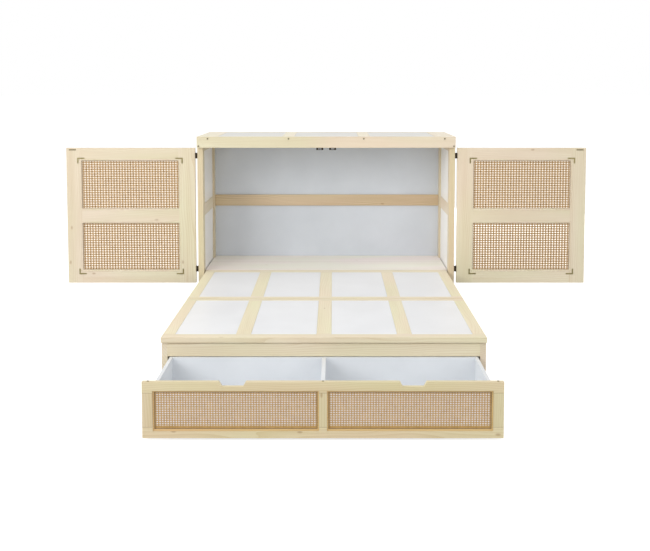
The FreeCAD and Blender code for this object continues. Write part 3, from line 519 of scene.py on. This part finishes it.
nodeFinish = {
    "pineAlong": ["top_apron", "top_long_rails", "left_door_rails", "right_door_rails"],
    "pineDeep": ["side_rails", "top_cross_rails", "housing_sides"],
    # the platform boards and the housing front rail take lighter pine: painted light
    "pineLitPale": ["rear_platform_rails", "front_platform_rails", "housing_front_rail"],
    "pineLitPaleDeep": ["rear_platform_stiles", "front_platform_stiles"],
    # the rear posts take darkened pine: painted shade of the inner corners
    "pineShadedBackUpright": ["rear_posts"],
    "pineUpright": ["left_door_stiles", "right_door_stiles", "left_door_beads", "right_door_beads"],
    # the drawer front and the front posts take darker khaki pine: painted shade
    "pineShadedStraw": ["drawer_front_rails"],
    "pineShadedStrawUpright": ["front_posts"],
    "pineShadedStile": ["drawer_front_stiles"],
    # the back rails and deck cleats take darkened, browner pine: painted shade
    "pineShadedBack": ["back_rails", "deck_cleats"],
    "goldBead": ["drawer_beads"],
    "sidePanel": ["side_panels"],
    "whitePanel": ["rear_platform_panels", "front_platform_panels", "housing_back", "housing_floor"],
    # the top panels take a warmer white: painted reflection
    "topPanelWarmReflection": ["top_panels"],
    "caneBacking": ["drawer_backing_panels"],
    # the back panels take a greyer white: painted shade
    "shadedBackPanel": ["back_panels"],
    "deckWash": ["inner_deck_boards"],
    "drawerWhite": ["drawer_box_sides", "drawer_box_ends", "drawer_divider", "drawer_box_floor"],
    "bronze": ["magnetic_catches", "door_hinge_fixed_leaves", "left_door_hinge_leaves",
               "right_door_hinge_leaves"],
    "darkBrass": ["left_door_strike", "right_door_strike"],
    "brass": ["left_door_brackets", "right_door_brackets"],
    "zincSteel": ["deck_hinge_fixed_leaves", "rear_platform_hinge_leaves", "front_platform_hinge_leaves",
                  "housing_runners", "drawer_runners", "left_runner_slide", "right_runner_slide",
                  "caster_forks"],
    "blackPlastic": ["levelling_feet", "caster_wheel_front_left", "caster_wheel_front_right",
                     "caster_wheel_rear_left", "caster_wheel_rear_right"],
    "doorCane": ["left_door_cane", "right_door_cane"],
    "drawerCane": ["drawer_cane"],
}
edgeSoftening = {"board": 0.0012, "panel": 0.0006, "metal": 0.00025, "leastAngle": 50, "weldWithin": 0.00001}
metalFinishes = ("bronze", "darkBrass", "brass", "zincSteel")
panelFinishes = ("whitePanel", "topPanelWarmReflection", "sidePanel", "caneBacking", "shadedBackPanel", "drawerWhite",
                 "goldBead")
# butted boards, and nodes that a piece replaces
keptSharp = ("inner_deck_boards", "_cane", "caster_wheel")

for finish, labels in nodeFinish.items():
    for label in labels:
        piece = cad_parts[label]
        piece.data.materials.clear()
        piece.data.materials.append(finishes[finish])
        if any(part in label for part in keptSharp):
            continue
        width = edgeSoftening["board"]
        if finish in metalFinishes:
            width = edgeSoftening["metal"]
        elif finish in panelFinishes:
            width = edgeSoftening["panel"]
        weld = piece.modifiers.new("joinFaces", "WELD")
        weld.merge_threshold = edgeSoftening["weldWithin"]
        soft = piece.modifiers.new("softEdge", "BEVEL")
        soft.width = width
        soft.segments = roundSteps
        soft.limit_method = "ANGLE"
        soft.angle_limit = math.radians(edgeSoftening["leastAngle"])
leftOver = set(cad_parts) - {label for labels in nodeFinish.values() for label in labels}
print("nodes finished, left over:", sorted(leftOver))


# woven cane: the strips of one hole, repeated over a pane

doorWeave = {
    "pitch": (0.01742, 0.01482),
    "holes": (36, 21),
    "strandPlace": 0.35,
    "strandWidth": 0.30,
    "slantWidth": 0.15,
    "sway": 0.00030,
    "rise": 0.00062,
    "joinWithin": 0.00004,
    "thickness": 0.00045,
    "paneX": 1.2375,
    "paneZ": {"upper": 0.8970, "lower": 0.5025},
    "y": 0.6585,
}
drawerWeave = {
    "pitch": (0.01166, 0.00986),
    "holes": (61, 17),
    "strandPlace": 0.40,
    "strandWidth": 0.12,
    "slantWidth": 0.07,
    "sway": 0.00020,
    "rise": 0.00040,
    "joinWithin": 0.00004,
    "thickness": 0.00040,
    "paneX": 0.3735,
    "paneZ": 0.1305,
    "y": -1.2078,
}


def caneStrip(begin, end, width):
    deselectAll()
    run = Vector(end) - Vector(begin)
    middle = (Vector(begin) + Vector(end)) / 2
    length = math.hypot(run.x, run.z)
    bpy.ops.mesh.primitive_plane_add(size=1, location=middle, rotation=(math.pi / 2, 0, 0))
    strip = bpy.context.object
    strip.scale = (length, width, 1)
    bpy.ops.object.transform_apply(location=False, rotation=True, scale=True)
    for vertex in strip.data.vertices:
        vertex.select = vertex.co.x > 0
    bpy.ops.object.mode_set(mode="EDIT")
    bpy.ops.mesh.select_mode(type="VERT")
    bpy.ops.transform.translate(value=(0, run.y / 2, 0))
    bpy.ops.mesh.select_all(action="INVERT")
    bpy.ops.transform.translate(value=(0, -run.y / 2, 0))
    bpy.ops.object.mode_set(mode="OBJECT")
    strip.rotation_euler = (0, -math.atan2(run.z, run.x), 0)
    bpy.ops.object.transform_apply(location=True, rotation=True, scale=True)
    return strip


def weaveCane(name, weave, finish):
    pitchX, pitchZ = weave["pitch"]
    sway, rise = weave["sway"], weave["rise"]
    side = weave["strandPlace"]
    wide = weave["strandWidth"] * pitchX
    tall = weave["strandWidth"] * pitchZ
    strips = []
    # two uprights and two level strands, each over one neighbour and under the next
    for sign in (-1, 1):
        x = sign * side * pitchX
        low, high, again = -side * pitchZ, side * pitchZ, (1 - side) * pitchZ
        strips.append(caneStrip((x, -sign * sway, low), (x, sign * sway, high), wide))
        strips.append(caneStrip((x, sign * sway, high), (x, -sign * sway, again), wide))
        z = sign * side * pitchZ
        left, right, beyond = -side * pitchX, side * pitchX, (1 - side) * pitchX
        strips.append(caneStrip((left, sign * sway, z), (right, -sign * sway, z), tall))
        strips.append(caneStrip((right, -sign * sway, z), (beyond, sign * sway, z), tall))
    # slanting strands round the hole
    halfX, halfZ = pitchX / 2, pitchZ / 2
    slant = weave["slantWidth"] * pitchX
    strips.append(caneStrip((-halfX, -rise, 0), (0, rise, halfZ), slant))
    strips.append(caneStrip((0, rise, -halfZ), (halfX, -rise, 0), slant))
    strips.append(caneStrip((-halfX, rise, 0), (0, -rise, -halfZ), slant))
    strips.append(caneStrip((0, -rise, halfZ), (halfX, rise, 0), slant))
    deselectAll()
    for strip in strips:
        strip.select_set(True)
    cell = strips[0]
    bpy.context.view_layer.objects.active = cell
    bpy.ops.object.join()
    cell.name = name
    cell.data.name = name
    columns, rows = weave["holes"]
    for label, count, step in (("across", columns, (pitchX, 0, 0)), ("upwards", rows, (0, 0, pitchZ))):
        repeat = cell.modifiers.new(label, "ARRAY")
        repeat.use_relative_offset = False
        repeat.use_constant_offset = True
        repeat.constant_offset_displace = step
        repeat.count = count
        repeat.use_merge_vertices = True
        repeat.merge_threshold = weave["joinWithin"]
        bpy.ops.object.modifier_apply(modifier=label)
    thicken(cell, weave["thickness"])
    # middle of the sheet to the origin
    cell.location = (-pitchX * (columns - 1) / 2, 0, -pitchZ * (rows - 1) / 2)
    bpy.ops.object.transform_apply(location=True, rotation=False, scale=False)
    cell.data.materials.append(finishes[finish])
    return cell


doorSheet = weaveCane("doorSheet", doorWeave, "doorCane")
drawerSheet = weaveCane("drawerSheet", drawerWeave, "drawerCane")
caneCount = 0
for sign, sideName in bothSides:
    for level, z in doorWeave["paneZ"].items():
        pane = copyTo(doorSheet, "%sDoor%sCane" % (sideName, level.capitalize()),
                      (sign * doorWeave["paneX"], doorWeave["y"], z))
        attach(pane, sideName + "_door")
        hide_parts(sideName + "_door_cane")
        caneCount += len(pane.data.polygons)
    pane = copyTo(drawerSheet, sideName + "DrawerCane",
                  (sign * drawerWeave["paneX"], drawerWeave["y"], drawerWeave["paneZ"]))
    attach(pane, "drawer")
    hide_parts("drawer_cane")
    caneCount += len(pane.data.polygons)
removeSources(doorSheet, drawerSheet)
print("cane woven:", caneCount, "faces")


# thin frames round a pane: a dark reed in front of the cane, partly a spline and partly a painted shadow line
# along the recess's edge, and a golden fillet behind the drawer's cane, partly a fillet and partly painted
# reflected light and shade of the recess seen through the holes

# the reeds' dark brown, on doors and drawer, is partly a spline and partly a painted shadow line round the
# pane
doorReedShadowLine = {
    "sizes": {"upper": (0.6126, 0.3036), "lower": (0.6126, 0.2986)},
    "border": 0.0030,
    "thickness": 0.0012,
    "round": 0.0004,
    "y": 0.6569,
}
drawerReedShadowLine = {
    "size": (0.7006, 0.1636),
    "border": 0.0032,
    "thickness": 0.0014,
    "round": 0.0005,
    "y": -1.2093,
}
# a golden border behind the drawer's cane, wider at the bottom: partly a fillet, partly painted reflected
# light and painted shade of the recess, seen through the holes
drawerFilletAndBounceLight = {
    "size": (0.7110, 0.1740),
    "border": 0.0085,
    "bounceLightSill": 0.0180,
    "thickness": 0.0003,
    "y": -1.20675,
}


def makePaneFrame(name, size, shape, finish):
    deselectAll()
    bpy.ops.mesh.primitive_plane_add(size=1, rotation=(math.pi / 2, 0, 0))
    edging = bpy.context.object
    edging.name = name
    edging.scale = (*size, 1)
    bpy.ops.object.transform_apply(location=False, rotation=True, scale=True)
    bpy.ops.object.mode_set(mode="EDIT")
    bpy.ops.mesh.inset(thickness=shape["border"])
    bpy.ops.mesh.delete(type="FACE")
    bpy.ops.object.mode_set(mode="OBJECT")
    # the wider lower side paints light reflected up from the recess's lower side
    if "bounceLightSill" in shape:  # a wider lower side
        innerX = size[0] / 2 - shape["border"] / 2
        for vertex in edging.data.vertices:
            vertex.select = abs(vertex.co.x) < innerX and vertex.co.z < 0
        bpy.ops.object.mode_set(mode="EDIT")
        bpy.ops.mesh.select_mode(type="VERT")
        bpy.ops.transform.translate(value=(0, 0, shape["bounceLightSill"] - shape["border"]))
        bpy.ops.object.mode_set(mode="OBJECT")
    thicken(edging, shape["thickness"])
    if "round" in shape:
        rounded = edging.modifiers.new("rounded", "BEVEL")
        rounded.width = shape["round"]
        rounded.segments = roundSteps
        bpy.ops.object.modifier_apply(modifier="rounded")
    bpy.ops.object.mode_set(mode="EDIT")
    bpy.ops.mesh.select_all(action="SELECT")
    bpy.ops.mesh.normals_make_consistent(inside=False)
    bpy.ops.object.mode_set(mode="OBJECT")
    edging.data.materials.append(finishes[finish])
    return edging


def setPaneFrame(source, name, place, body):
    edging = copyTo(source, name, place)
    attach(edging, body)


doorReedShadowLines = {level: makePaneFrame(level + "Reed", size, doorReedShadowLine, "doorReedShadowLine")
             for level, size in doorReedShadowLine["sizes"].items()}
wideReedShadowLine = makePaneFrame("wideReedShadowLine", drawerReedShadowLine["size"], drawerReedShadowLine, "drawerReedShadowLine")
# the golden fillet paints reflected light and shade of the recess behind the cane
goldFilletAndBounceLight = makePaneFrame("goldFilletAndBounceLight", drawerFilletAndBounceLight["size"], drawerFilletAndBounceLight, "goldBead")
for sign, sideName in bothSides:
    for level, reed in doorReedShadowLines.items():
        setPaneFrame(reed, "%sDoor%sReed" % (sideName, level.capitalize()),
                     (sign * doorWeave["paneX"], doorReedShadowLine["y"], doorWeave["paneZ"][level]),
                     sideName + "_door")
    drawerX, drawerZ = sign * drawerWeave["paneX"], drawerWeave["paneZ"]
    setPaneFrame(wideReedShadowLine, sideName + "DrawerReedShadowLine", (drawerX, drawerReedShadowLine["y"], drawerZ), "drawer")
    setPaneFrame(goldFilletAndBounceLight, sideName + "DrawerFilletAndBounceLight", (drawerX, drawerFilletAndBounceLight["y"], drawerZ), "drawer")
removeSources(*doorReedShadowLines.values(), wideReedShadowLine, goldFilletAndBounceLight)
print("reeds and fillets set")


# screw heads and caps: turned once, then set in place

fasteners = {
    "apron": {"sides": 20, "radius": 0.0042, "depth": 0.0024, "round": 0.0005,
              "rim": 0.0012, "recessWall": 0.0002, "recess": 0.0010},
    "small": {"sides": 16, "radius": 0.0026, "depth": 0.0016, "round": 0.0004,
              "rim": 0.0008, "recessWall": 0.0002, "recess": 0.0007},
    "apronSpots": [(x, 0.6272, 1.189) for x in (-0.744, -0.236, 0.236, 0.744)]
                  + [(x, 0.6272, 1.142) for x in (-0.802, 0.802)],
    "drawerCaps": [(x, -1.2085, 0.2577) for x in (-0.750, 0.0, 0.750)],
    # distances from the edges of a door's brackets and strike plate
    "bracketEdge": 0.004,
    "bracketAlong": 0.036,
    "bracketUp": 0.027,
    "strikeEnd": 0.007,
    "proud": 0.0002,
}
faceForward = (math.pi / 2, 0, 0)
faceUp = (0, 0, 0)


def makeScrewHead(name, shape, finish):
    deselectAll()
    bpy.ops.mesh.primitive_cylinder_add(vertices=shape["sides"], radius=shape["radius"], depth=shape["depth"])
    head = bpy.context.object
    head.name = name
    selectFaces(head, lambda face: face.normal.z > squareOn)
    bpy.ops.object.mode_set(mode="EDIT")
    bpy.ops.mesh.bevel(offset=shape["round"], segments=roundSteps, affect="EDGES")
    bpy.ops.mesh.inset(thickness=shape["rim"])
    bpy.ops.mesh.inset(thickness=shape["recessWall"], depth=-shape["recess"])
    bpy.ops.object.mode_set(mode="OBJECT")
    head.data.materials.append(finishes[finish])
    bpy.ops.object.shade_smooth_by_angle(angle=smoothAngle)
    return head


def setScrews(source, spots, turn, body, label):
    for number, spot in enumerate(spots, start=1):
        screw = copyTo(source, "%s%02d" % (label, number), (0, 0, 0))
        screw.rotation_euler = turn
        screw.location = spot
        bpy.ops.object.transform_apply(location=True, rotation=True, scale=False)
        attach(screw, body)


apronHead = makeScrewHead("apronHead", fasteners["apron"], "darkBrass")
setScrews(apronHead, fasteners["apronSpots"], faceForward, "cabinet", "apronScrew")
capHead = makeScrewHead("capHead", fasteners["apron"], "brass")
setScrews(capHead, fasteners["drawerCaps"], faceUp, "drawer", "drawerCap")
smallHead = makeScrewHead("smallHead", fasteners["small"], "brass")
for sign, sideName in bothSides:
    low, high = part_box(sideName + "_door_brackets")
    y = low[1] - fasteners["proud"]
    edge, along, up = fasteners["bracketEdge"], fasteners["bracketAlong"], fasteners["bracketUp"]
    spots = []
    for x, inward in ((low[0], 1), (high[0], -1)):
        for z, upward in ((low[2], 1), (high[2], -1)):
            spots.append((x + inward * along, y, z + upward * edge))
            spots.append((x + inward * edge, y, z + upward * up))
    low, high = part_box(sideName + "_door_strike")
    for x in (low[0] + fasteners["strikeEnd"], high[0] - fasteners["strikeEnd"]):
        spots.append((x, low[1] - fasteners["proud"], (low[2] + high[2]) / 2))
    setScrews(smallHead, spots, faceForward, sideName + "_door", sideName + "DoorScrew")
removeSources(apronHead, capHead, smallHead)
print("screws set")


# caster wheels: a rounded tread, a dished face with a hub, and the bore for the axle

casterWheel = {
    "sides": 48,
    "radius": 0.020,
    "width": 0.016,
    "treadRound": 0.0016,
    "treadSteps": 3,
    "rim": 0.0030,
    "dish": 0.0022,
    "dishWall": 0.0006,
    "hubRadius": 0.0082,
    "boreRadius": 0.0032,
}


def makeCasterWheel(name, shape):
    deselectAll()
    bpy.ops.mesh.primitive_cylinder_add(vertices=shape["sides"], radius=shape["radius"], depth=shape["width"],
                                        rotation=(0, math.pi / 2, 0))
    wheel = bpy.context.object
    wheel.name = name
    bpy.ops.object.transform_apply(location=False, rotation=True, scale=False)
    selectFaces(wheel, lambda face: abs(face.normal.x) > squareOn)
    bpy.ops.object.mode_set(mode="EDIT")
    bpy.ops.mesh.bevel(offset=shape["treadRound"], segments=shape["treadSteps"], affect="EDGES")
    bpy.ops.object.mode_set(mode="OBJECT")
    selectFaces(wheel, lambda face: abs(face.normal.x) > squareOn and len(face.vertices) == shape["sides"])
    bpy.ops.object.mode_set(mode="EDIT")
    dishRadius = shape["radius"] - shape["treadRound"] - shape["rim"] - shape["dishWall"]
    bpy.ops.mesh.inset(thickness=shape["rim"])
    bpy.ops.mesh.inset(thickness=shape["dishWall"], depth=-shape["dish"])
    bpy.ops.mesh.inset(thickness=dishRadius - shape["hubRadius"])
    bpy.ops.mesh.inset(thickness=shape["dishWall"], depth=shape["dish"])
    bpy.ops.mesh.inset(thickness=shape["hubRadius"] - shape["dishWall"] - shape["boreRadius"])
    bpy.ops.mesh.delete(type="ONLY_FACE")
    bpy.ops.mesh.select_mode(type="EDGE")
    bpy.ops.mesh.select_all(action="DESELECT")
    bpy.ops.mesh.select_non_manifold()
    bpy.ops.mesh.bridge_edge_loops()
    bpy.ops.mesh.select_all(action="SELECT")
    bpy.ops.mesh.normals_make_consistent(inside=False)
    bpy.ops.object.mode_set(mode="OBJECT")
    wheel.data.materials.append(finishes["blackPlastic"])
    bpy.ops.object.shade_smooth_by_angle(angle=smoothAngle)
    return wheel


wheelShape = makeCasterWheel("wheelShape", casterWheel)
for corner in ("front_left", "front_right", "rear_left", "rear_right"):
    low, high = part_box("caster_wheel_" + corner)
    wheel = copyTo(wheelShape, "casterWheel_" + corner, (Vector(low) + Vector(high)) / 2)
    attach(wheel, "wheel_" + corner)
    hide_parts("caster_wheel_" + corner)
removeSources(wheelShape)
print("wheels set")


# steel pole plates on the front of the magnetic catches

polePlate = {
    "size": (0.020, 0.0014, 0.006),
    "round": 0.0004,
    "border": 0.0012,
    "recessWall": 0.0001,
    "recess": 0.0003,
    "fromMiddle": 0.0405,
    "aboveCatchFoot": 0.0075,
}

deselectAll()
bpy.ops.mesh.primitive_cube_add(size=1, scale=polePlate["size"])
plateShape = bpy.context.object
bpy.ops.object.transform_apply(location=False, rotation=False, scale=True)
selectFaces(plateShape, lambda face: face.normal.y < -squareOn)
bpy.ops.object.mode_set(mode="EDIT")
bpy.ops.mesh.bevel(offset=polePlate["round"], segments=roundSteps, affect="EDGES")
bpy.ops.mesh.inset(thickness=polePlate["border"])
bpy.ops.mesh.inset(thickness=polePlate["recessWall"], depth=-polePlate["recess"])
bpy.ops.object.mode_set(mode="OBJECT")
plateShape.data.materials.append(finishes["zincSteel"])
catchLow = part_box("magnetic_catches")[0]
for sign, sideName in bothSides:
    plate = copyTo(plateShape, sideName + "PolePlate",
                   (sign * polePlate["fromMiddle"], catchLow[1], catchLow[2] + polePlate["aboveCatchFoot"]))
    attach(plate, "cabinet")
removeSources(plateShape)
print("pole plates set")


# floor and light

studio = {
    "floorSize": 240.0,
    "floorLook": {"dark": (0.58, 0.58, 0.58), "light": (0.62, 0.62, 0.62), "rough": (0.6, 0.75),
                  "coarse": 0.8, "fine": 30.0, "bump": 0.0, "specular": 0.1},
    "floorGlow": 0.74,
    "white": (1, 1, 1, 1),
    "worldSeen": 1.0,
    "worldLight": 0.57,
    "lamps": [
        {"name": "keyLamp", "place": (-4.0, -4.6, 3.0), "aim": (0.0, 0.2, 0.4), "size": 3.0, "power": 142},
        {"name": "sideLamp", "place": (-5.2, -1.1, 2.0), "aim": (0.6, 0.8, 0.6), "size": 2.0, "power": 50},
        {"name": "fillLamp", "place": (4.0, -4.2, 2.6), "aim": (0.2, 0.2, 0.5), "size": 4.0, "power": 84},
        {"name": "topLamp", "place": (0.0, -0.6, 5.0), "aim": (0.0, 0.0, 0.3), "size": 4.5, "power": 74},
        {"name": "backLamp", "place": (1.6, 5.8, 1.6), "aim": (0.0, 1.2, 0.6), "size": 3.0, "power": 110,
         "mirrored": False},
        {"name": "innerLamp", "place": (-0.55, -0.2, 0.95), "aim": (0.78, 0.92, 0.68), "size": 0.4,
         "power": 0.4, "mirrored": False, "spread": 46},
    ],
}

deselectAll()
bpy.ops.mesh.primitive_plane_add(size=studio["floorSize"], location=(0, 0, 0))
floor = bpy.context.object
floor.name = "studioFloor"
paleFloor = makeEven("paleFloor", **studio["floorLook"])
floor.data.materials.append(paleFloor)
# the floor glows for the camera alone, up to the white of the backdrop
floorTree = paleFloor.node_tree
floorShader = principledOf(paleFloor)
setInputs(floorShader, Emission_Color=studio["white"])
floorRay = addNode(floorTree, "ShaderNodeLightPath", -400, -700)
floorGlow = mathNode(floorTree, "MULTIPLY", -150, -700, floorRay.outputs["Is Camera Ray"],
                     studio["floorGlow"])
floorTree.links.new(floorGlow, floorShader.inputs["Emission Strength"])

for settings in studio["lamps"]:
    deselectAll()
    toward = Vector(settings["aim"]) - Vector(settings["place"])
    bpy.ops.object.light_add(type="AREA", location=settings["place"],
                             rotation=toward.to_track_quat("-Z", "Y").to_euler())
    lamp = bpy.context.object
    lamp.name = settings["name"]
    lamp.data.size = settings["size"]
    lamp.data.energy = settings["power"]
    lamp.data.spread = math.radians(settings.get("spread", 180))
    lamp.visible_glossy = settings.get("mirrored", True)
    lamp.visible_camera = False

world = bpy.data.worlds.new("softStudio")
bpy.context.scene.world = world
world.use_nodes = True
sky = world.node_tree
sky.nodes.clear()
skyOut = addNode(sky, "ShaderNodeOutputWorld", 400, 0)
skyLight = setInputs(addNode(sky, "ShaderNodeBackground", 0, 100), Color=studio["white"],
                     Strength=studio["worldLight"])
skySeen = setInputs(addNode(sky, "ShaderNodeBackground", 0, -100), Color=studio["white"],
                    Strength=studio["worldSeen"])
skyPick = addNode(sky, "ShaderNodeLightPath", -250, 300)
skyMix = addNode(sky, "ShaderNodeMixShader", 200, 0)
sky.links.new(skyPick.outputs["Is Camera Ray"], skyMix.inputs[0])
sky.links.new(skyLight.outputs[0], skyMix.inputs[1])
sky.links.new(skySeen.outputs[0], skyMix.inputs[2])
sky.links.new(skyMix.outputs[0], skyOut.inputs["Surface"])
print("studio lit")

deselectAll()
